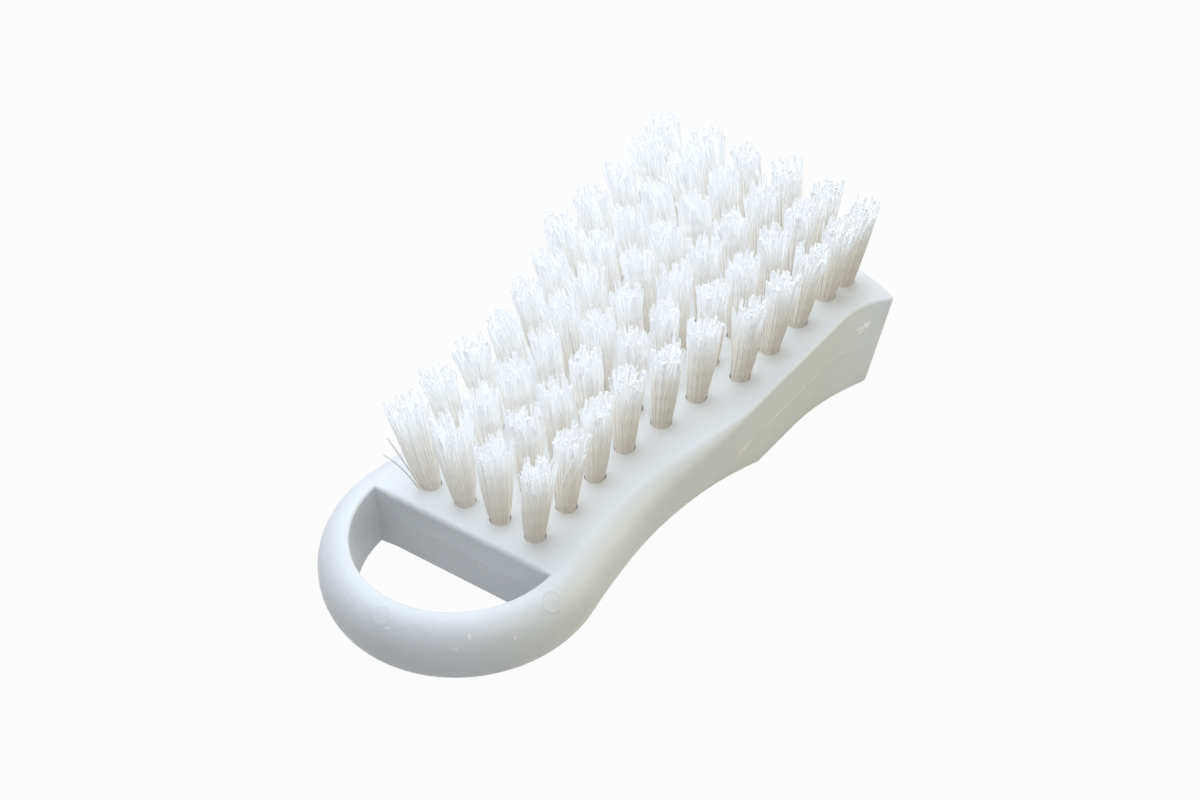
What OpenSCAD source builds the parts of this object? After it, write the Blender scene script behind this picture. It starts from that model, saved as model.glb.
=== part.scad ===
// Hand and nail brush: one moulded plastic block with a finger loop, filled with tufts
// that flat wire anchors hold in drilled holes. Everything is in millimetres.
// The brush lies on its flat back at z = 0 with the bristles up. +X runs from the
// finger loop to the wide end, and the origin is under the middle of the whole brush.

/* [Block] */
// Thickness of the block
block_t = 15.5; // [14.5:0.5:18]
// Outer radius of the finger loop
loop_r = 29.2; // [28:0.2:33]
// Width of the loop's band
loop_band = 7; // [6.5:0.1:8.5]
// How much narrower each side of the waist is than the loop
waist_in = 3.5; // [2.5:0.1:5]
// Distance from the loop's centre to the waist
waist_x = 31; // [28:0.5:34]
// How far each straight wall stands out from the waist
wall_out = 2.5; // [1:0.1:3.5]
// Distance from the loop's centre to the start of the straight walls
wall_x = 61; // [56:0.5:66]
// Small rounding of the crisp edges
edge_r = 0.4; // [0.2:0.1:0.5]
// Bevel of the finger opening's rims
rim_bevel = 0.5; // [0.3:0.1:1]
// Flat land between the bevel and the rounding of the loop's band
rim_land = 0.3; // [0.2:0.1:1]

/* [Wide end] */
// Length of the flare along each side, on the bristle face
flare_l = 10.8; // [8:0.2:14]
// How far each flare stands out from the wall, on the bristle face
flare_out = 5.3; // [3.5:0.1:6]
// How far the end's middle bulges past its corners, on the bristle face
end_bulge = 6.4; // [4:0.2:9]
// Length of the flare along each side, on the back
back_flare_l = 20; // [16:0.5:24]
// How far each flare stands out from the wall, on the back
back_flare_out = 4.7; // [3:0.1:6]
// How far each corner rakes back towards the loop on its way down to the back
corner_rake = 10.8; // [6:0.4:11.2]
// How far the middle of the end rakes back on its way down to the back
end_rake = 2; // [0.5:0.25:2.5]
// Plastic left between the last row's middle and the end
end_land = 4.6; // [4.4:0.1:7]
// How far the rounding of each corner reaches along its two sides
corner_reach = 1; // [1:0.1:2]

/* [Tufts] */
// Height of the trimmed tips above the bristle face
trim_h = 21.4; // [18:0.2:26]
// Distance between rows
row_pitch = 10; // [9.5:0.1:11]
// Distance from the finger opening to the first row
first_row_x = 7; // [6:0.1:9]
// Distance from the last straight row to the middle of the curved last row
last_row_gap = 9; // [8.6:0.1:11]
// How far the ends of the last row curve back towards the loop
last_row_bow = 3.2; // [3:0.1:3.6]
// How far the tips of the last row curve back
last_tips_bow = 1.6; // [1:0.1:2]
// How far the first row leans back over the loop, measured at the tips
row_lean = 1; // [0:0.1:2]
// How unevenly the tips are trimmed, up or down
tip_rag = 0.5; // [0:0.1:0.8]

/* [Holes and anchors] */
// Diameter of a tuft's hole
hole_d = 4.4; // [4:0.1:4.8]
// Depth of a tuft's hole
hole_depth = 8.5; // [8:0.25:9]
// Gap between a tuft's root and the wall of its hole
root_clear = 0.15; // [0.1:0.05:0.25]
// How far the top of a tuft's root lies below the bristle face
root_sink = 0.5; // [0.3:0.1:1]
// Thickness of the anchors' flat wire
anchor_t = 0.5; // [0.3:0.05:0.7]
// Height of an anchor
anchor_h = 1.8; // [1.4:0.1:2.2]
// How far each end of an anchor bites into the wall of its hole
anchor_bite = 0.3; // [0.15:0.05:0.4]
// Depth of folded bristle between an anchor and the hole's bottom
fold_h = 1; // [0.6:0.1:1.5]

/* [Hidden] */
// Tufts across each row, from the loop to the wide end
row_counts = [4, 4, 4, 4, 5, 5, 6, 6, 6, 6, 6];
// Outermost tuft of each row, as a share of the straight walls' half width
row_half_shares = [0.47, 0.475, 0.46, 0.455, 0.52, 0.575, 0.71, 0.715, 0.72, 0.725, 0.75];
// Tip spacing across a row, as a share of the spacing of its holes
splay_share = 1.23;
rows = len(row_counts);

// Strands that stand for a tuft's filaments: one in the middle and a ring round it
ring_strands = 7;
strand_sides = 4;
// Ring radius, and the radii of a strand at its root and tip, as shares of the hole's
ring_share = 0.57;
root_strand_share = 0.235;
tip_strand_share = 0.36;
// How much further from the tuft's middle a strand is at its tip than at its root
fan_share = 2.2;

// Sizes that follow from the ones above
finger_r = loop_r - loop_band;
band_reach = loop_band - rim_bevel - rim_land;
waist_half = loop_r - waist_in;
wall_half = waist_half + wall_out;
last_row_x = first_row_x + (rows - 2) * row_pitch + last_row_gap;
end_x = last_row_x + end_land;
corner_x = end_x - end_bulge;
mid_x = (end_x - loop_r) / 2;
hole_r = hole_d / 2;
root_r = hole_r - root_clear;
overrun = block_t / 10;

// Angle from the side's normal at which the side leaves the loop's circle
neck_angle = 11.4;
// Pull of the neck's curve at the loop and at the waist, as shares of its length
neck_pull_shares = [0.24, 0.34];
// Where the wide edges start to fade, as shares of the way to the straight walls, and how
// late the fade comes: the bristle face first, then the back
fade_shares = [0.25, 0.64];
fade_powers = [1.3, 2.5];
// Flat band at mid height where the two halves of the mould meet
mould_band = block_t / 25;
// Steps along each stretch of the outline, and round each edge
loop_steps = 26;
neck_steps = 7;
waist_steps = 12;
wall_steps = 2;
flare_steps = 6;
corner_steps = 4;
end_steps = 7;
edge_steps = 6;

tuft_list = [for (r = [0 : rows - 1]) for (c = [0 : row_counts[r] - 1]) [r, c]];

$fn = 48;

function tuft_name(r, c) = str("tuft_row", r < 9 ? "0" : "", r + 1, "_", c + 1);
function unit(v) = v / norm(v);
function mix(a, b, u) = a * (1 - u) + b * u;
function ease(u) = u * u * (3 - 2 * u);
function clamp01(u) = max(0, min(1, u));

// One side of the outline, from the tip of the loop to the middle of the wide end.
// Each stretch gives its points without its last one.
function loop_side() = [
    for (i = [0 : loop_steps - 1])
        let (a = 180 - (90 + neck_angle) * i / loop_steps) loop_r * [cos(a), sin(a)]
];

// A smooth curve from the loop's circle to the waist, level where it ends
function neck_side() =
    let (
        a = 90 - neck_angle,
        p0 = loop_r * [cos(a), sin(a)],
        p3 = [waist_x, waist_half],
        span = norm(p3 - p0),
        p1 = p0 + neck_pull_shares[0] * span * [sin(a), -cos(a)],
        p2 = p3 - [neck_pull_shares[1] * span, 0]
    )
    [
        for (i = [0 : neck_steps - 1])
            let (u = i / neck_steps, v = 1 - u)
            v * v * v * p0 + 3 * v * v * u * p1 + 3 * v * u * u * p2 + u * u * u * p3
    ];

// The S-curve from the waist out to the straight wall
function waist_side() = [
    for (i = [0 : waist_steps - 1])
        let (u = i / waist_steps) [mix(waist_x, wall_x, u), mix(waist_half, wall_half, ease(u))]
];

function wall_side(flare_x) = [
    for (i = [0 : wall_steps - 1]) [mix(wall_x, flare_x, i / wall_steps), wall_half]
];

// Radius of an arc that leaves a line and has stepped out by rise after run
function arc_r(run, rise) = (run * run + rise * rise) / (2 * rise);

// A point on the hollow arc of the flare, u from 0 at the wall to 1 at the corner
function flare_point(corner, run, rise, u) =
    let (r = arc_r(run, rise), a = u * asin(run / r))
    corner + [r * sin(a) - run, r * (1 - cos(a)) - rise];

// A point on the bulging arc of the end, u from 0 at the corner to 1 at the middle
function end_point(corner, bulge, u) =
    let (r = arc_r(corner[1], bulge), a = (1 - u) * asin(corner[1] / r))
    [corner[0] + bulge - r * (1 - cos(a)), r * sin(a)];

// The flare, the rounded corner and the end, for one face of the block
function end_side(corner, run, rise, bulge) =
    let (
        near = 1 - corner_reach / norm([run, rise]),
        far = corner_reach / norm([corner[1], bulge]),
        a = flare_point(corner, run, rise, near),
        b = end_point(corner, bulge, far),
        // The corner's weight that makes the curve between a and b an arc of a circle
        w = norm(b - a) / (norm(corner - a) + norm(corner - b))
    )
    concat(
        [for (i = [0 : flare_steps - 1]) flare_point(corner, run, rise, near * i / flare_steps)],
        [
            for (i = [0 : corner_steps - 1])
                let (u = i / corner_steps, v = 1 - u, pull = 2 * u * v * w)
                (v * v * a + pull * corner + u * u * b) / (v * v + pull + u * u)
        ],
        [for (i = [0 : end_steps - 1]) end_point(corner, bulge, mix(far, 1, i / end_steps))]
    );

// The whole outline of one face, clockwise seen from the bristles
function outline(corner, run, rise, end) =
    let (
        side = concat(
            loop_side(), neck_side(), waist_side(), wall_side(corner[0] - run),
            end_side(corner, run, rise, end - corner[0]), [[end, 0]]
        ),
        last = len(side) - 1
    )
    concat(side, [for (i = [1 : last - 1]) [side[last - i][0], -side[last - i][1]]]);

function normals(line) = [
    for (i = [0 : len(line) - 1])
        let (d = unit(line[(i + 1) % len(line)] - line[(i + len(line) - 1) % len(line)]))
        [-d[1], d[0]]
];

// How far the rounded edge reaches in at x: nearly the whole band on the loop, and edge_r
// on the straight walls
function face_reach(x) =
    let (u = clamp01((x / wall_x - fade_shares[0]) / (1 - fade_shares[0])))
    mix(band_reach, edge_r, pow(u, fade_powers[0]));
function back_reach(x) =
    let (u = clamp01((x / wall_x - fade_shares[1]) / (1 - fade_shares[1])))
    mix(band_reach, edge_r, pow(u, fade_powers[1]));

// The block without its holes: rings of points down through the thickness, each ring
// drawn between the bristle face's outline and the back's, and drawn in round the edges
module block_body() {
    face = outline([corner_x, wall_half + flare_out], flare_l, flare_out, end_x);
    back = outline(
        [corner_x - corner_rake, wall_half + back_flare_out], back_flare_l, back_flare_out, end_x - end_rake
    );
    face_normals = normals(face);
    back_normals = normals(back);
    count = len(face);
    drop_share = (block_t - mould_band) / (2 * band_reach);
    face_rings = [
        for (j = [0 : edge_steps])
            let (a = 90 * j / edge_steps)
            [
                for (i = [0 : count - 1])
                    let (
                        reach = face_reach(face[i][0]),
                        drop = reach * drop_share * (1 - cos(a)),
                        p = mix(face[i], back[i], drop / block_t) - face_normals[i] * reach * (1 - sin(a))
                    )
                    [p[0], p[1], -drop]
            ]
    ];
    back_rings = [
        for (j = [edge_steps : -1 : 0])
            let (a = 90 * j / edge_steps)
            [
                for (i = [0 : count - 1])
                    let (
                        reach = back_reach(back[i][0]),
                        drop = reach * drop_share * (1 - cos(a)),
                        p = mix(back[i], face[i], drop / block_t) - back_normals[i] * reach * (1 - sin(a))
                    )
                    [p[0], p[1], drop - block_t]
            ]
    ];
    rings = concat(face_rings, back_rings);
    levels = len(rings);
    half = count / 2;
    // A flat face as a strip of triangles between its two mirrored sides
    strip = concat(
        [[0, 1, count - 1]],
        [for (i = [1 : half - 2]) [i, i + 1, count - i]],
        [for (i = [1 : half - 2]) [i + 1, count - i - 1, count - i]],
        [[half - 1, half, half + 1]]
    );
    under = (levels - 1) * count;
    polyhedron(
        points = [for (ring = rings) for (p = ring) p],
        faces = concat(
            strip,
            [for (f = strip) [under + f[2], under + f[1], under + f[0]]],
            [
                for (j = [0 : levels - 2]) for (i = [0 : count - 1])
                    let (n = (i + 1) % count) [j * count + n, j * count + i, (j + 1) * count + i]
            ],
            [
                for (j = [0 : levels - 2]) for (i = [0 : count - 1])
                    let (n = (i + 1) % count) [j * count + n, (j + 1) * count + i, (j + 1) * count + n]
            ]
        ),
        convexity = 6
    );
}

// Half a disc with its straight edge on the Y axis
module half_disc(r) {
    intersection() {
        circle(r = r, $fn = 96);
        translate([-r, -r]) square([r, 2 * r]);
    }
}

// The D-shaped finger opening, cut right through, with bevelled rims on both faces
module finger_opening() {
    translate([0, 0, -block_t - overrun])
        linear_extrude(block_t + 2 * overrun) half_disc(finger_r);
    rim_bevel();
    translate([0, 0, -block_t]) mirror([0, 0, 1]) rim_bevel();
}

// The part of a cone and of a wedge that bevels the opening's rim, widest above the face
module rim_bevel() {
    h = rim_bevel + overrun;
    translate([0, 0, -rim_bevel]) intersection() {
        cylinder(h = h, r1 = finger_r, r2 = finger_r + h, $fn = 96);
        translate([0, loop_r, 0]) rotate([90, 0, 0]) linear_extrude(2 * loop_r)
            polygon([[-loop_r, 0], [0, 0], [h, h], [-loop_r, h]]);
    }
}

// Places of the tufts: the middle of a hole's mouth, and the middle of its tips
function tuft_y(r, c) =
    wall_half * row_half_shares[r] * (1 - 2 * c / (row_counts[r] - 1));
function tuft_x(r, c, bow) =
    r < rows - 1
        ? first_row_x + r * row_pitch
        : last_row_x - bow * pow(tuft_y(r, c) / tuft_y(r, 0), 2);
function hole_mouth(r, c) = [tuft_x(r, c, last_row_bow), tuft_y(r, c), 0];
function tip_middle(r, c) =
    let (lean = row_lean * (1 - r / (rows - 1)))
    [tuft_x(r, c, last_tips_bow) - lean, tuft_y(r, c) * splay_share, trim_h];

// Puts its children at a hole's mouth, with Z along the hole
module at_hole(r, c) {
    mouth = hole_mouth(r, c);
    way = tip_middle(r, c) - mouth;
    translate(mouth)
        rotate([0, acos(way[2] / norm(way)), atan2(way[1], way[0])])
        rotate([0, 0, -atan2(way[1], way[0])])
        children();
}

// An anchor's flat wire, across the hole above the tuft's fold
module anchor() {
    length = hole_d + 2 * anchor_bite;
    translate([-anchor_t / 2, -length / 2, fold_h - hole_depth])
        cube([anchor_t, length, anchor_h]);
}

// A strand: a tapered bar from the root to the tip
module strand(from, to, turn) {
    root_edge = hole_r * root_strand_share;
    tip_edge = hole_r * tip_strand_share;
    corners = [for (i = [0 : strand_sides - 1]) turn + 360 * i / strand_sides];
    n = strand_sides;
    polyhedron(
        points = concat(
            [for (a = corners) from + root_edge * [cos(a), sin(a), 0]],
            [for (a = corners) to + tip_edge * [cos(a), sin(a), 0]]
        ),
        faces = concat(
            [for (i = [1 : n - 2]) [0, i, i + 1]],
            [for (i = [1 : n - 2]) [n, n + i + 1, n + i]],
            [for (i = [0 : n - 1]) [i, n + i, n + (i + 1) % n]],
            [for (i = [0 : n - 1]) [i, n + (i + 1) % n, (i + 1) % n]]
        )
    );
}

// Moves the loop's centre and the bristle face to the part's own frame
module in_frame() {
    translate([-mid_x, 0, block_t]) children();
}

// The moulded block with its finger opening, holes and the bites of the anchors
module brush_block() {
    color("whitesmoke") in_frame() difference() {
        block_body();
        finger_opening();
        for (t = tuft_list) at_hole(t[0], t[1]) {
            translate([0, 0, -hole_depth]) cylinder(h = hole_depth + overrun, r = hole_r);
            anchor();
        }
    }
}

// Flat wire anchors, one pressed across each hole above the tuft's fold
module anchor_staples() {
    color("silver") in_frame() for (t = tuft_list) at_hole(t[0], t[1]) anchor();
}

// A tuft: the folded root that fills the hole round its anchor, and the strands it holds
module tuft(r, c) {
    mouth = hole_mouth(r, c);
    tips = tip_middle(r, c);
    way = tips - mouth;
    seed = 41 * r + 17 * c;
    ring_r = hole_r * ring_share;
    // The strands start a little below the top of the root, so that they fuse with it
    start = -2 * root_sink / trim_h;
    color("white") in_frame() {
        difference() {
            at_hole(r, c) translate([0, 0, -hole_depth]) cylinder(h = hole_depth - root_sink, r = root_r);
            at_hole(r, c) anchor();
        }
        for (k = [0 : ring_strands]) {
            a = seed + 360 * k / ring_strands;
            spot = k == ring_strands ? [0, 0, 0] : ring_r * [cos(a), sin(a), 0];
            rag = [0, 0, tip_rag * sin(137 * k + 71 * seed)];
            strand(mouth + spot + way * start, tips + spot * fan_share + rag, a);
        }
    }
}

brush_block();
anchor_staples();
for (t = tuft_list)
    tuft(t[0], t[1]);
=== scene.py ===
import math

import bpy
import numpy as np
from mathutils import Matrix
from mathutils.geometry import delaunay_2d_cdt


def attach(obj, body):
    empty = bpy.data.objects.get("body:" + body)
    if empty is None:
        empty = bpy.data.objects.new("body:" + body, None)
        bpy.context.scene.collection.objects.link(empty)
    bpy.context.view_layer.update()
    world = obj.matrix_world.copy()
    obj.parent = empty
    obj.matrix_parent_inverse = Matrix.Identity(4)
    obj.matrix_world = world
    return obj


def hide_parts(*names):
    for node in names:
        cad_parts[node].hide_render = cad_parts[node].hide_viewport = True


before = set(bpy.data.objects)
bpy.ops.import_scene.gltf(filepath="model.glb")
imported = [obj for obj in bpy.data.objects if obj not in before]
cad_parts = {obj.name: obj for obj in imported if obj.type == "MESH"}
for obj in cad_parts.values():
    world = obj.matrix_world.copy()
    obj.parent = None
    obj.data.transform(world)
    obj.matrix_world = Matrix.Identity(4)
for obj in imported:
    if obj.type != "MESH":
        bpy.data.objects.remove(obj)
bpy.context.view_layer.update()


# Block: one injection moulding of white polypropylene, with a D-shaped finger loop at one end
# and a flared end at the other, whose face rakes back so that it scrapes. Its two halves of
# mould met at mid height, where a faint raised line is left.
MM = 0.001
thickness = 15.5
loop_radius = 29.2
finger_radius = 22.2
waist_x, waist_half = 31, 25.7
wall_x, wall_half = 61, 28.2
end_x, corner_x = 110.6, 104.2
middle_rake, corner_rake = 2, 10.8
face_run, face_rise = 10.8, 5.3
back_run, back_rise = 20, 4.7
corner_reach = 1
middle_x = (end_x - loop_radius) / 2
round_reach, crisp_reach = 6.2, 0.4
neck_angle = math.radians(11.4)
loop_pull, waist_pull = 0.24, 0.34


def mix(a, b, u):
    return a * (1 - u) + b * u


def curve(points, u):
    """A Bezier curve's point at each u."""
    rows = [np.asarray(p, float) for p in points]
    u = np.asarray(u)[:, None]
    while len(rows) > 1:
        rows = [mix(a, b, u) for a, b in zip(rows, rows[1:])]
    return rows[0]


def steps(count):
    return np.arange(count) / count


def smooth(u):
    return u * u * (3 - 2 * u)


def block_outline(corner, run, rise, end):
    """One face's outline, counter-clockwise from the middle of the wide end."""
    angle = math.pi - (math.pi / 2 + neck_angle) * steps(64)
    loop = loop_radius * np.column_stack([np.cos(angle), np.sin(angle)])
    turn = math.pi / 2 - neck_angle
    leave = loop_radius * np.array([math.cos(turn), math.sin(turn)])
    waist = np.array([waist_x, waist_half])
    span = np.linalg.norm(waist - leave)
    after_loop = leave + loop_pull * span * np.array([math.sin(turn), -math.cos(turn)])
    before_waist = waist - [waist_pull * span, 0]
    neck = curve([leave, after_loop, before_waist, waist], steps(18))
    u = steps(30)
    swell = np.column_stack([mix(waist_x, wall_x, u), mix(waist_half, wall_half, smooth(u))])
    wall = np.column_stack([mix(wall_x, corner[0] - run, steps(8)), np.full(8, wall_half)])
    hollow_r = (run * run + rise * rise) / (2 * rise)
    bulge = end - corner[0]
    end_r = (corner[1] ** 2 + bulge ** 2) / (2 * bulge)

    def flare(u):
        a = np.asarray(u) * math.asin(run / hollow_r)
        x = corner[0] + hollow_r * np.sin(a) - run
        y = corner[1] + hollow_r * (1 - np.cos(a)) - rise
        return np.column_stack([x, y])

    def end_arc(u):
        a = (1 - np.asarray(u)) * math.asin(corner[1] / end_r)
        return np.column_stack([corner[0] + bulge - end_r * (1 - np.cos(a)), end_r * np.sin(a)])

    near = 1 - corner_reach / math.hypot(run, rise)
    far = corner_reach / math.hypot(corner[1], bulge)
    a, b, corner = flare([near])[0], end_arc([far])[0], np.asarray(corner)
    # Weighted so that the curve between a and b is an arc of a circle
    weight = np.linalg.norm(b - a) / (np.linalg.norm(corner - a) + np.linalg.norm(corner - b))
    u = steps(8)[:, None]
    pull = 2 * u * (1 - u) * weight
    tip = ((1 - u) ** 2 * a + pull * corner + u * u * b) / ((1 - u) ** 2 + pull + u * u)
    flared = flare(near * steps(14))
    half_end = end_arc(mix(far, 1, steps(24)))
    side = np.vstack([loop, neck, swell, wall, flared, tip, half_end, [[end, 0]]])
    return np.vstack([side, side[-2:0:-1] * [1, -1]])[::-1]


def out_normals(line):
    d = np.roll(line, -1, 0) - np.roll(line, 1, 0)
    d /= np.linalg.norm(d, axis=1)[:, None]
    return np.column_stack([d[:, 1], -d[:, 0]])


face_corner = [corner_x, wall_half + face_rise]
back_corner = [corner_x - corner_rake, wall_half + back_rise]
face_line = block_outline(face_corner, face_run, face_rise, end_x)
back_line = block_outline(back_corner, back_run, back_rise, end_x - middle_rake)


def rounding(line, start, power):
    """How far the edge's rounding reaches in: it fades to a crisp edge where the straight walls begin."""
    fade = np.clip((line[:, 0] / wall_x - start) / (1 - start), 0, 1) ** power
    return mix(round_reach, crisp_reach, fade)


face_reach = rounding(face_line, start=0.25, power=1.3)
back_reach = rounding(back_line, start=0.64, power=2.5)
mould_band = thickness / 25
drop_share = (thickness - mould_band) / (2 * round_reach)

block_points, block_faces = [], []


def add_ring(xy, z):
    first = len(block_points)
    z = np.broadcast_to(z, len(xy))
    for (x, y), h in zip(xy, z):
        block_points.append(((x - middle_x) * MM, y * MM, (h + thickness) * MM))
    return list(range(first, first + len(xy)))


def bridge(upper, lower):
    """Quads between two rings that run counter-clockwise and face outwards."""
    for i in range(len(upper)):
        n = (i + 1) % len(upper)
        block_faces.append((upper[i], lower[i], lower[n], upper[n]))


def round_rings(line, other, reach, turns):
    """Rings of a rounded edge, from the flat face (turn 0) out to the wall (turn 90)."""
    for turn in turns:
        a = math.radians(turn)
        drop = reach * drop_share * (1 - math.cos(a))
        rim = mix(line, other, (drop / thickness)[:, None])
        yield rim - out_normals(line) * (reach * (1 - math.sin(a)))[:, None], drop


edge_turns = np.linspace(0, 90, 15)
rings = [add_ring(xy, -drop) for xy, drop in round_rings(face_line, back_line, face_reach, edge_turns)]
face_rim = rings[0]


def wall_ring(depth, out=0.0):
    depth = np.broadcast_to(depth, len(face_line))
    rim = mix(face_line, back_line, (depth / thickness)[:, None])
    return add_ring(rim + out_normals(face_line) * np.reshape(out, (-1, 1)), -depth)


# The parting line stands out a few hundredths, unevenly, and most on the long walls
ridge_height, slow_wave, quick_wave = 0.05, 0.035, 0.025
low_x = face_line[:, 0]
side_of = np.sign(face_line[:, 1] + 0.1)
ridge = ridge_height + slow_wave * np.sin(low_x * 0.45 + 1.3) + quick_wave * np.sin(low_x * 1.7) * side_of
ridge *= 0.35 + 0.65 * np.clip((low_x - 30) / 25, 0, 1) * np.clip((104 - low_x) / 20, 0, 1)
shoulder = ridge * 0.8
parting = thickness / 2
ridge_foot, ridge_top, beside_ridge = 0.14, 0.05, 0.16
face_depth = face_reach * drop_share
back_depth = thickness - back_reach * drop_share
for u in (0.3, 0.6, 0.85):
    rings.append(wall_ring(mix(face_depth, parting - beside_ridge, u)))
for below, out in ((-ridge_foot, 0), (-ridge_top, shoulder), (ridge_top, shoulder), (ridge_foot, 0)):
    rings.append(wall_ring(parting + below, out))
for u in (0.15, 0.4, 0.7):
    rings.append(wall_ring(mix(parting + beside_ridge, back_depth, u)))
for xy, drop in round_rings(back_line, face_line, back_reach, edge_turns[::-1]):
    rings.append(add_ring(xy, drop - thickness))
for upper, lower in zip(rings, rings[1:]):
    bridge(upper, lower)
back_rim = rings[-1]


# The finger opening goes right through, and its rim is rounded more on the straight side
arc_round, chord_round = 0.6, 1.3
arc_points, chord_points = 97, 47
rim_turns = np.radians(np.linspace(0, 90, 7))


def d_ring(turn):
    """The opening's outline and its depth at one turn of the rounded rim."""
    out = 1 - math.sin(turn)
    r = finger_radius + arc_round * out
    start = math.acos(arc_round * out / r)
    a = start + (2 * math.pi - 2 * start) * np.linspace(0, 1, arc_points)
    arc = r * np.column_stack([np.cos(a), np.sin(a)])
    y = mix(arc[-1, 1], arc[0, 1], np.arange(1, chord_points + 1) / (chord_points + 1))
    inner = np.clip((finger_radius - np.abs(y)) / 4, 0, 1)
    reach = mix(arc_round, chord_round, smooth(inner))
    chord = np.column_stack([reach * out, y])
    depth = np.concatenate([np.full(arc_points, arc_round), reach]) * (1 - math.cos(turn))
    return np.vstack([arc, chord]), depth


opening = [add_ring(xy, -depth) for xy, depth in map(d_ring, rim_turns)]

# The mould's two cores met on the straight wall too, in a wavy line a little above the middle
ledge_depth, ledge_out = 6.4, 0.07
d_line, _ = d_ring(math.pi / 2)
on_chord = np.clip((20 - np.abs(d_line[:, 1])) / 4, 0, 1) * (d_line[:, 0] > -0.01)
wave = 0.5 * np.sin(d_line[:, 1] * 0.33 + 0.6) + 0.02 * d_line[:, 1]
for rise, out in ((0.45, 0), (0.15, ledge_out), (-0.15, ledge_out), (-0.45, 0)):
    ledge = d_line - [1, 0] * (on_chord * out)[:, None]
    opening.append(add_ring(ledge, -ledge_depth + on_chord * wave + rise))
opening += [add_ring(xy, depth - thickness) for xy, depth in map(d_ring, rim_turns[::-1])]
for upper, lower in zip(opening, opening[1:]):
    bridge(lower, upper)


# Tuft holes: 56 blind holes drilled into the bristle face in 11 rows, the outer ones tilted
# outwards so that the bristles splay. The drill leaves each mouth a little broken.
row_counts = [4, 4, 4, 4, 5, 5, 6, 6, 6, 6, 6]
row_halves = [13.25, 13.4, 12.97, 12.83, 14.66, 16.22, 20.02, 20.16, 20.3, 20.45, 21.15]
first_row_x, row_gap = 7, 10
last_row = len(row_counts) - 1
last_row_x, last_mouths_bow, last_tips_bow = 106, 3.2, 1.6
hole_radius, hole_sides = 2.2, 36
hole_depth = 8.5
mouth_break = 0.15
trim_height = 21.4
splay = 1.23


def tuft_place(r, c):
    """The middle of a hole's mouth and the middle of its tuft's tips."""
    across = 1 - 2 * c / (row_counts[r] - 1)
    y = row_halves[r] * across
    if r < last_row:
        x = tip_x = first_row_x + row_gap * r
    else:
        x, tip_x = last_row_x - last_mouths_bow * across ** 2, last_row_x - last_tips_bow * across ** 2
    # The first row leans 1 mm towards the loop, and each row after it a tenth less
    return np.array([x, y, 0.0]), np.array([tip_x - (1 - r / last_row), y * splay, trim_height])


mouths = []
circle = np.linspace(0, 2 * math.pi, hole_sides, endpoint=False)
circle = np.column_stack([np.cos(circle), np.sin(circle)])
for r, count in enumerate(row_counts):
    for c in range(count):
        mouth, tips = tuft_place(r, c)
        tilt = (tips - mouth)[:2] / trim_height
        hole = []
        for a in np.radians([0, 30, 60, 90]):
            depth = mouth_break * (1 - math.cos(a))
            radius = hole_radius + mouth_break * (1 - math.sin(a))
            hole.append(add_ring(mouth[:2] - tilt * depth + circle * radius, -depth))
        hole.append(add_ring(mouth[:2] - tilt * hole_depth + circle * hole_radius, -hole_depth))
        for upper, lower in zip(hole, hole[1:]):
            bridge(lower, upper)
        block_faces.append(tuple(hole[-1]))
        mouths.append(hole[0])


def flat_face(rim, gaps, up):
    """Fills a flat face between its rim and the rings of its openings."""
    loops = [rim] + gaps
    ids = [i for loop in loops for i in loop]
    ends = np.cumsum([0] + [len(loop) for loop in loops])
    flat = [(block_points[i][0] / MM, block_points[i][1] / MM) for i in ids]
    shapes = [list(range(a, b)) for a, b in zip(ends, ends[1:])]
    _, _, faces, kept, _, source = delaunay_2d_cdt(flat, [], shapes, 1, 1e-6)
    for corners, inside in zip(faces, source):
        if list(inside) == [0]:
            face = [ids[kept[v][0]] for v in corners]
            block_faces.append(tuple(face if up else face[::-1]))


flat_face(face_rim, [opening[0]] + mouths, True)
flat_face(back_rim, [opening[-1]], False)

block_mesh = bpy.data.meshes.new("moulded_block")
block_mesh.from_pydata(block_points, [], block_faces)
block_mesh.polygons.foreach_set("use_smooth", [True] * len(block_mesh.polygons))
block_mesh.update()
block_mesh.set_sharp_from_angle(angle=math.radians(38))
block = bpy.data.objects.new("moulded_block", block_mesh)
bpy.context.scene.collection.objects.link(block)


def tree_tools(tree):
    """Clears a node tree and gives the two functions that fill it."""
    tree.nodes.clear()

    def node(kind, **settings):
        made = tree.nodes.new("ShaderNode" + kind)
        for key, value in settings.items():
            setattr(made, key, value)
        return made

    def join(a, b):
        tree.links.new(a, b)

    return node, join


def new_material(name):
    material = bpy.data.materials.new(name)
    material.use_nodes = True
    return material, *tree_tools(material.node_tree)


# The next functions add to whichever tree node and join were last made for
def place_in_mm():
    coords = node("TexCoord")
    in_mm = node("VectorMath", operation="SCALE")
    in_mm.inputs["Scale"].default_value = 1000
    join(coords.outputs["Object"], in_mm.inputs[0])
    return in_mm.outputs[0]


def noise(place, scale, detail):
    made = node("TexNoise")
    made.inputs["Scale"].default_value = scale
    made.inputs["Detail"].default_value = detail
    join(place, made.inputs["Vector"])
    return made.outputs["Fac"]


def spread(value, low, high, to_low, to_high):
    made = node("MapRange", interpolation_type="SMOOTHSTEP")
    for socket, number in zip(("From Min", "From Max", "To Min", "To Max"), (low, high, to_low, to_high)):
        made.inputs[socket].default_value = number
    join(value, made.inputs["Value"])
    return made.outputs["Result"]


def combine(operation, values):
    total = values[0]
    for value in values[1:]:
        made = node("Math", operation=operation)
        join(total, made.inputs[0])
        join(value, made.inputs[1])
        total = made.outputs[0]
    return total


def times(value, factor):
    made = node("Math", operation="MULTIPLY")
    made.inputs[1].default_value = factor
    join(value, made.inputs[0])
    return made.outputs[0]


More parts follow.
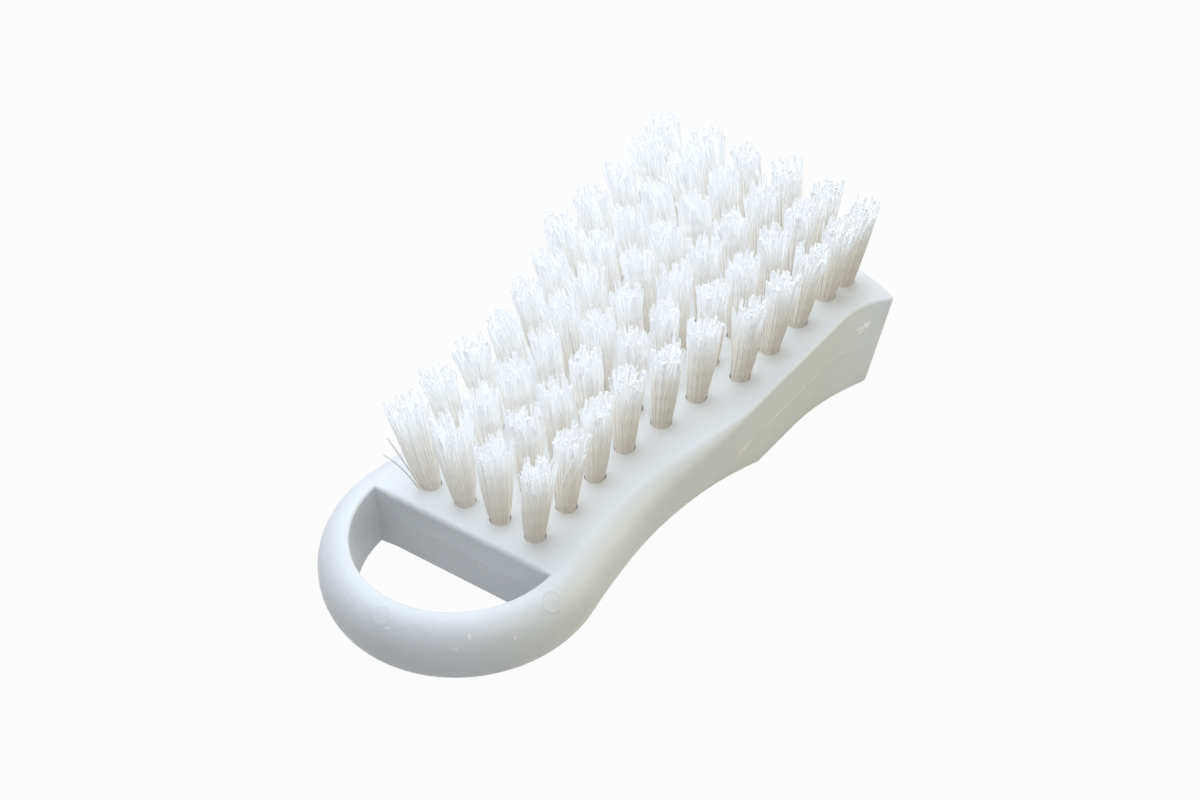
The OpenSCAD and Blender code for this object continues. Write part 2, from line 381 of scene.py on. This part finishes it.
def bump(height, strength, distance):
    made = node("Bump")
    made.inputs["Strength"].default_value = strength
    made.inputs["Distance"].default_value = distance
    join(height, made.inputs["Height"])
    return made.outputs["Normal"]


def ring_mark(place, centre, radius, width, height):
    """The edge of a round ejector pin's mark, as a height."""
    gap = node("VectorMath", operation="DISTANCE")
    gap.inputs[1].default_value = centre
    join(place, gap.inputs[0])
    away = node("Math", operation="SUBTRACT")
    away.inputs[1].default_value = radius
    join(gap.outputs["Value"], away.inputs[0])
    size = node("Math", operation="ABSOLUTE")
    join(away.outputs[0], size.inputs[0])
    return spread(size.outputs[0], 0, width, height, 0)


def scratch(place, start, end, width):
    """A fine straight mark between two points, 1 on the mark and 0 away from it."""
    start, way = np.array(start), np.array(end) - np.array(start)
    long = float(np.linalg.norm(way))
    from_start = node("VectorMath", operation="SUBTRACT")
    from_start.inputs[1].default_value = start
    join(place, from_start.inputs[0])
    along = node("VectorMath", operation="DOT_PRODUCT")
    along.inputs[1].default_value = way / long
    join(from_start.outputs[0], along.inputs[0])
    kept = node("Clamp")
    kept.inputs["Max"].default_value = long
    join(along.outputs["Value"], kept.inputs["Value"])
    nearest = node("VectorMath", operation="SCALE")
    nearest.inputs[0].default_value = way / long
    join(kept.outputs[0], nearest.inputs["Scale"])
    gap = node("VectorMath", operation="DISTANCE")
    join(from_start.outputs[0], gap.inputs[0])
    join(nearest.outputs[0], gap.inputs[1])
    return spread(gap.outputs["Value"], width * 0.3, width, 1, 0)


white_plastic, node, join = new_material("white_moulded_plastic")
place = place_in_mm()
tone = node("ValToRGB")
tone.color_ramp.elements[0].position, tone.color_ramp.elements[1].position = 0.35, 0.65
tone.color_ramp.elements[0].color = (0.772, 0.788, 0.798, 1)
tone.color_ramp.elements[1].color = (0.812, 0.831, 0.847, 1)
join(noise(place, 0.06, 2), tone.inputs["Fac"])
# Knocks and scrapes, each pressed up whitish: four specks on the loop, two marks on the straight
# wall of the opening, and a gouge and the torn parting line on the flared side
knocks = combine("ADD", [scratch(place, *mark) for mark in (
    ((-61.5, -18.4, 13.1), (-60.9, -17.9, 13.4), 0.45),
    ((-55.5, -24.7, 11.4), (-54.8, -24.3, 11.7), 0.4),
    ((-64.1, -16.9, 11.1), (-63.5, -16.6, 11.4), 0.4),
    ((-68.0, -2.9, 12.9), (-67.7, -3.9, 12.9), 0.4),
    ((-40.7, -4.9, 7.3), (-40.7, -3.8, 7.6), 0.4),
    ((-40.7, 6.0, 10.6), (-40.7, 7.4, 10.3), 0.25),
    ((54.6, -29.8, 10.3), (57.4, -30.7, 11.7), 0.6),
    ((54.6, -29.8, 11.3), (57.2, -30.6, 10.9), 0.55),
    ((56.3, -30.4, 10.1), (56.5, -30.4, 12.0), 0.5),
    ((14.4, -27.98, 7.5), (18.6, -28.05, 7.6), 0.5),
    ((13.8, -28.0, 6.7), (17.4, -28.05, 7.0), 0.45),
    ((23.4, -28.1, 7.5), (29.4, -28.2, 7.6), 0.5),
    ((30.0, -28.2, 7.6), (37.4, -28.2, 7.7), 0.42),
    ((38.6, -28.2, 7.7), (42.2, -28.21, 7.8), 0.36),
)])
heights = combine("ADD", [
    times(knocks, 0.4),
    spread(noise(place, 0.35, 3), 0, 1, 0, 0.55),
    spread(noise(place, 4, 3), 0, 1, 0, 0.14),
    ring_mark(place, (-66.6, -0.9, 14.3), 1.9, 0.8, 0.35),
    ring_mark(place, (-45.2, -26.0, 14.0), 2.1, 0.5, 0.5),
])
whitened = node("Mix", data_type="RGBA")
whitened.inputs["B"].default_value = (0.985, 0.985, 0.98, 1)
join(spread(knocks, 0, 1, 0, 1), whitened.inputs["Factor"])
join(tone.outputs["Color"], whitened.inputs["A"])
plastic = node("BsdfPrincipled")
plastic.inputs["IOR"].default_value = 1.49
plastic.inputs["Subsurface Weight"].default_value = 0.15
plastic.inputs["Subsurface Radius"].default_value = (1.0, 0.9, 0.8)
plastic.inputs["Subsurface Scale"].default_value = 0.002
join(whitened.outputs["Result"], plastic.inputs["Base Color"])
join(spread(noise(place, 0.25, 3), 0.3, 0.7, 0.36, 0.46), plastic.inputs["Roughness"])
join(bump(heights, 0.9, 0.0002), plastic.inputs["Normal"])
join(plastic.outputs["BSDF"], node("OutputMaterial").inputs["Surface"])
block_mesh.materials.append(white_plastic)

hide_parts("brush_block")
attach(block, "root")


# Anchors: short lengths of bright flat wire, one pressed across each hole above the fold of
# its tuft. They stay as the frame has them and get the look of drawn wire.
drawn_wire, node, join = new_material("drawn_wire")
stretched = node("Mapping")
stretched.inputs["Scale"].default_value = (6, 0.4, 14)
join(place_in_mm(), stretched.inputs["Vector"])
draw_lines = noise(stretched.outputs["Vector"], 1.0, 4)
wire_tone = node("ValToRGB")
wire_tone.color_ramp.elements[0].color = (0.45, 0.45, 0.44, 1)
wire_tone.color_ramp.elements[1].color = (0.74, 0.74, 0.72, 1)
join(draw_lines, wire_tone.inputs["Fac"])
steel = node("BsdfPrincipled")
steel.inputs["Metallic"].default_value = 1
join(wire_tone.outputs["Color"], steel.inputs["Base Color"])
join(spread(draw_lines, 0.2, 0.8, 0.22, 0.4), steel.inputs["Roughness"])
join(bump(draw_lines, 0.4, 0.00002), steel.inputs["Normal"])
join(steel.outputs["BSDF"], node("OutputMaterial").inputs["Surface"])
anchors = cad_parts["anchor_staples"]
if not anchors.material_slots:
    anchors.data.materials.append(None)
for slot in anchors.material_slots:
    slot.material = drawn_wire


# Tufts: each is a bundle of stiff white filaments, folded once round its anchor, so that every
# filament has two ends. They leave the hole packed tight, fan out, and are trimmed level.
filament_radius = 0.19
filament_sides = 5
end_break, end_share = 0.04, 0.72
packed_radius = 2.02
first_column, column_gap, in_column = 0.18, 0.33, 0.37
fan_x, fan_y, fan_power = 1.88, 1.76, 0.62
anchor_top, anchor_foot = -5.7, -7.5
leg_start = anchor_top + 0.3
leg_heights = np.array([0.0, 0.1, 0.28, 0.5, 0.72, 0.88, 1.0])
locks, cling = 15, 0.45
curl_from, curl_power = 0.72, 1.6
# How far a lock strays, how far a filament strays in it, and a lock's limit: by its tip, by its
# bow half way up, and by the curl of its end
wander_mm, bow_mm, curl_mm = (0.42, 0.12, 1.1), (0.13, 0.08, 1), (0.32, 0.12, 0.7)
# How far the cut ends are from the trim height
rag_mean, rag_together, rag_alone = -0.3, 0.5, 0.4
rag_least, rag_most = -1.8, 0.4
# Half the width of the innermost fold, how fast the next ones widen, and half the widest; then how
# far a fold hangs below the anchor's foot, and how much further the widest does
fold_near, fold_growth, fold_far = 0.46, 0.83, 1.9
fold_sag, more_sag = 0.22, 0.36
seeded = np.random.default_rng(6836)

leg_spots = []
for i in range(7):
    x = first_column + column_gap * i
    for y in np.arange(-6, 7) * in_column + (in_column / 2 if i % 2 else 0):
        if x * x + y * y < packed_radius ** 2:
            leg_spots.append((x, y))
leg_spots = np.array(leg_spots)


def stray(lock, together, alone, limit):
    """How far each filament strays sideways, with its lock, and by itself."""
    shared = np.clip(seeded.normal(0, together, (locks, 2)), -limit, limit)
    return shared[lock] + seeded.normal(0, alone, (len(lock), 2))


def one_leg(mouth, tips, spots, side, spread_out):
    """Paths from just above the anchor to the cut ends, one row for each filament."""
    count = len(spots)
    spots = spots * [side, 1] + seeded.normal(0, 0.03, (count, 2))
    way = (tips - mouth)[:2]
    # Neighbours cling together in small locks, which end at heights of their own
    knots = spots[seeded.choice(count, locks, replace=False)]
    lock = np.argmin(np.linalg.norm(spots[:, None] - knots, axis=2), axis=1)
    pull = (knots[lock] - spots) * cling
    wander, bow, curl = (stray(lock, *amounts) for amounts in (wander_mm, bow_mm, curl_mm))
    rag = seeded.normal(rag_mean, rag_together, locks)[lock] + seeded.normal(0, rag_alone, count)
    rag = np.clip(rag, rag_least, rag_most)
    rows = [np.column_stack([mouth[:2] + way * leg_start / trim_height + spots, np.full(count, leg_start)])]
    for h in leg_heights:
        fan = 1 + (np.array([fan_x, fan_y]) * spread_out - 1) * h ** fan_power
        xy = mouth[:2] + way * h + (spots + pull * h ** 4) * fan
        xy = xy + wander * h ** 2.5 + bow * math.sin(math.pi * h) * 0.6
        xy = xy + curl * max(0, (h - curl_from) / (1 - curl_from)) ** curl_power
        rows.append(np.column_stack([xy, h * (trim_height + rag)]))
    return np.stack(rows, 1)


def fold(mouth, tips, spots):
    """Paths round the anchor's foot, from the near leg to the far one."""
    way = (tips - mouth)[:2] / trim_height
    reach = fold_near + (spots[:, 0] - first_column) * fold_growth
    deep = fold_sag + more_sag * (reach / fold_far)
    rows = []
    for turn in np.linspace(0, math.pi, 5):
        z = anchor_foot - deep * math.sin(turn)
        x = mouth[0] + way[0] * z + reach * math.cos(turn)
        rows.append(np.column_stack([x, mouth[1] + way[1] * z + spots[:, 1], z]))
    return np.stack(rows, 1)


# A clear filament carries light down and lets it out by its sides, so its sides are shaded
# as if they faced more upwards, most at the tips
lift_low, lift_high = 1.6, 3.5
lift_from, lift_span = 0.66, 0.29


def filament_mesh(name, paths):
    """One mesh of round filaments along paths, an array of filament, point and x, y, z."""
    count, length, _ = paths.shape
    along = np.gradient(paths, axis=1)
    along /= np.linalg.norm(along, axis=2)[..., None]
    side = np.array([0.0, 1.0, 0.0]) - along * along[..., 1:2]
    side /= np.linalg.norm(side, axis=2)[..., None]
    other = np.cross(along, side)
    # The cut ends are broken a little, so each gets a narrower last ring
    paths, side, other = (np.concatenate([a[:, :1], a, a[:, -1:]], 1) for a in (paths, side, other))
    paths[:, 0] -= along[:, 0] * end_break
    paths[:, -1] += along[:, -1] * end_break
    rings, sides = length + 2, filament_sides
    radius = np.full(rings, filament_radius)
    radius[[0, -1]] *= end_share
    turn = np.linspace(0, 2 * math.pi, sides, endpoint=False)
    rim = side[:, :, None] * np.cos(turn)[:, None] + other[:, :, None] * np.sin(turn)[:, None]
    points = paths[:, :, None] + rim * radius[:, None, None]
    points = (points.reshape(-1, 3) + [-middle_x, 0, thickness]) * MM
    base = (np.arange(count) * rings * sides)[:, None, None]
    level = (np.arange(rings - 1) * sides)[None, :, None]
    k = np.arange(sides)
    n = (k + 1) % sides
    here = base + level
    quads = np.stack([here + k, here + n, here + sides + n, here + sides + k], -1)
    faces = quads.reshape(-1, 4).tolist()
    last = (rings - 1) * sides
    for f in range(count):
        at = f * rings * sides
        faces.append([at + i for i in reversed(range(sides))])
        faces.append([at + last + i for i in range(sides)])
    mesh = bpy.data.meshes.new(name)
    mesh.from_pydata(points.tolist(), [], faces)
    mesh.polygons.foreach_set("use_smooth", [True] * len(mesh.polygons))
    mesh.update()
    normals = np.empty(len(mesh.loops) * 3)
    mesh.corner_normals.foreach_get("vector", normals)
    normals = normals.reshape(-1, 3)
    at = np.empty(len(mesh.loops), int)
    mesh.loops.foreach_get("vertex_index", at)
    height = (points[at, 2] / MM - thickness) / trim_height
    normals[:, 2] += mix(lift_low, lift_high, np.clip((height - lift_from) / lift_span, 0, 1))
    normals /= np.linalg.norm(normals, axis=1)[:, None]
    mesh.normals_split_custom_set(normals)
    return mesh


bristle, node, join = new_material("white_bristle")
height = node("SeparateXYZ")
join(place_in_mm(), height.inputs[0])
# Painted shade: the filaments are coloured greyer and warmer towards their roots, where the tuft shades
# itself and takes warm bounced light, and near white at the lit tips
tone = node("ValToRGB")
painted_shade_ramp = tone.color_ramp
painted_shade_ramp.elements[0].color = (0.9, 0.853, 0.785, 1)
painted_shade_ramp.elements[1].color = (0.99, 0.985, 0.97, 1)
for at, colour in (
    (0.5, (0.915, 0.88, 0.82, 1)),
    (0.8, (0.94, 0.92, 0.88, 1)),
    (0.93, (0.985, 0.98, 0.96, 1)),
):
    painted_shade_ramp.elements.new(at).color = colour
join(spread(height.outputs["Z"], 15, 36.5, 0, 1), tone.inputs["Fac"])
own = node("NewGeometry")
shade = node("HueSaturation")
join(spread(own.outputs["Random Per Island"], 0, 1, 0.965, 1.0), shade.inputs["Value"])
join(tone.outputs["Color"], shade.inputs["Color"])
filament = node("BsdfPrincipled")
filament.inputs["Roughness"].default_value = 0.3
filament.inputs["IOR"].default_value = 1.53
join(shade.outputs["Color"], filament.inputs["Base Color"])
# Most of a lamp's light goes through a filament, so a filament's own shadow is faint
clear = node("BsdfTransparent")
clear.inputs["Color"].default_value = (0.912, 0.909, 0.9, 1)
blend = node("MixShader")
join(node("LightPath").outputs["Is Shadow Ray"], blend.inputs["Fac"])
join(filament.outputs["BSDF"], blend.inputs[1])
join(clear.outputs["BSDF"], blend.inputs[2])
join(blend.outputs["Shader"], node("OutputMaterial").inputs["Surface"])

# A few filaments have bent away from their tufts: each leaves the hole at one point, passes by
# a second and ends at a third
bent_away = {
    "tuft_row01_1": [
        ((5.2, 13.9, 0.5), (2.5, 16.0, 9.0), (-2.0, 14.7, 19.0)),
        ((5.1, 14.3, 0.5), (1.0, 15.5, 9.5), (-5.0, 13.6, 17.5)),
    ],
    "tuft_row02_4": [
        ((15.3, -12.7, 0.5), (12.9, -14.8, 8.0), (12.9, -19.6, 19.0)),
        ((15.2, -13.0, 0.5), (13.0, -16.2, 8.0), (15.6, -20.8, 19.0)),
    ],
}

for r, count in enumerate(row_counts):
    for c in range(count):
        mouth, tips = tuft_place(r, c)
        # Use has spread the first row's tufts more, those on the far side most
        spread_out = seeded.uniform(0.93, 1.1) + (0.25 - 0.08 * c if r == 0 else 0)
        near = one_leg(mouth, tips, leg_spots, 1, spread_out)
        far = one_leg(mouth, tips, leg_spots, -1, spread_out)
        paths = np.concatenate([near[:, ::-1], fold(mouth, tips, leg_spots), far], 1)
        name = "tuft_row%02d_%d" % (r + 1, c + 1)
        for leaves, passes, ends in bent_away.get(name, []):
            root = np.append(mix(mouth[:2], np.array(leaves[:2]), 0.7), leg_start)
            bent = curve([root, leaves, passes, ends], np.linspace(0, 1, paths.shape[1]))
            paths = np.vstack([paths, bent[None]])
        dressed_name = "bristles" + name[4:]
        tuft = bpy.data.objects.new(dressed_name, filament_mesh(dressed_name, paths))
        tuft.data.materials.append(bristle)
        bpy.context.scene.collection.objects.link(tuft)
        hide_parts(name)
        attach(tuft, "root")


# Studio: a pale floor that stays white where nothing shades it, a little soft light from all
# round, one broad lamp above, five weak ones at the sides, and the photograph's camera.
def seen_plainly():
    """1 where the camera looks, also by a reflection or through something clear, and 0 for bounced light."""
    path = node("LightPath")
    kinds = "Is Camera Ray", "Is Glossy Ray", "Is Transmission Ray"
    return combine("MAXIMUM", [path.outputs[kind] for kind in kinds])


floor_half = 6
corners = [(x * floor_half, y * floor_half, 0) for x, y in ((-1, -1), (1, -1), (1, 1), (-1, 1))]
floor_mesh = bpy.data.meshes.new("studio_floor")
floor_mesh.from_pydata(corners, [], [(0, 1, 2, 3)])
floor = bpy.data.objects.new("studio_floor", floor_mesh)
bpy.context.scene.collection.objects.link(floor)
pale_floor, node, join = new_material("pale_floor")
paint = node("BsdfDiffuse")
paint.inputs["Color"].default_value = (0.45, 0.45, 0.44, 1)
white = node("Emission")
share = node("MixShader")
# A little of the paint is left in what the camera sees, so that the floor keeps a soft shadow
join(times(seen_plainly(), 0.96), share.inputs["Fac"])
join(paint.outputs["BSDF"], share.inputs[1])
join(white.outputs["Emission"], share.inputs[2])
join(share.outputs["Shader"], node("OutputMaterial").inputs["Surface"])
floor_mesh.materials.append(pale_floor)

world = bpy.data.worlds.new("studio")
bpy.context.scene.world = world
world.use_nodes = True
node, join = tree_tools(world.node_tree)
soft = node("Background")
soft.inputs["Color"].default_value = (1.0, 0.97, 0.9, 1)
soft.inputs["Strength"].default_value = 0.18
plain = node("Background")
plain.inputs["Strength"].default_value = 1
pick = node("MixShader")
join(seen_plainly(), pick.inputs["Fac"])
join(soft.outputs["Background"], pick.inputs[1])
join(plain.outputs["Background"], pick.inputs[2])
join(pick.outputs["Shader"], node("OutputWorld").inputs["Surface"])


def stand(made, place, right, up, back):
    """Puts a lamp or the camera at its place, looking away from back."""
    bpy.context.scene.collection.objects.link(made)
    made.matrix_world = Matrix([[right[i], up[i], back[i], place[i]] for i in range(3)] + [[0, 0, 0, 1]])


def lamp(name, place, aim, size, watts, colour):
    data = bpy.data.lights.new(name, "AREA")
    data.shape = "DISK"
    data.size = size
    data.energy = watts
    data.color = colour
    back = np.array(place, float) - np.array(aim, float)
    back /= np.linalg.norm(back)
    right = np.cross([0, 1, 0.01], back)
    right /= np.linalg.norm(right)
    stand(bpy.data.objects.new(name, data), place, right, np.cross(back, right), back)


lamp("top_softbox", (0.22, 0.38, 1.18), (0, 0, 0), 1.7, 18.1, (0.8, 0.88, 1.0))
lamp("far_softbox", (0.9, 0.2, 0.5), (0, 0, 0.02), 0.6, 1.3, (1.0, 0.95, 0.95))
lamp("near_fill", (-0.9, -0.1, 0.35), (0, 0, 0.02), 0.6, 0.4, (0.85, 0.93, 1.0))
lamp("back_fill", (0.0, 0.9, 0.4), (0, 0, 0.02), 0.6, 0.5, (1.0, 0.95, 0.86))
lamp("warm_fill", (0.55, -0.83, 0.1), (0, 0, 0.02), 0.5, 2.5, (1.0, 0.885, 0.38))
lamp("camera_fill", (-0.3, -0.68, 0.72), (0, 0, 0.02), 0.6, 1.65, (0.97, 0.98, 1.0))

# The camera's three directions are those of the view that the brush was photographed in
azimuth, elevation, roll = (math.radians(v) for v in (-49.706, 42.802, -4.808))
aim, distance = np.array([-9.524, -12.315, 32.577]) * MM, 0.75765
level = math.cos(elevation)
back = np.array([math.sin(azimuth) * level, -math.cos(azimuth) * level, math.sin(elevation)])
right = np.array([math.cos(azimuth), math.sin(azimuth), 0])
up = np.cross(back, right)
roll_cos, roll_sin = math.cos(roll), math.sin(roll)
camera_data = bpy.data.cameras.new("camera")
camera_data.lens, camera_data.sensor_width = 115.04, 36
camera_data.clip_start, camera_data.clip_end = 0.01, 50
camera = bpy.data.objects.new("camera", camera_data)
rolled_right, rolled_up = roll_cos * right + roll_sin * up, roll_cos * up - roll_sin * right
stand(camera, aim + back * distance, rolled_right, rolled_up, back)
bpy.context.scene.camera = camera
bpy.context.scene.view_settings.view_transform = "Standard"
# Lamp light passes many thin filaments one behind another, so it may cross this many walls
bpy.context.scene.cycles.transparent_max_bounces = 48
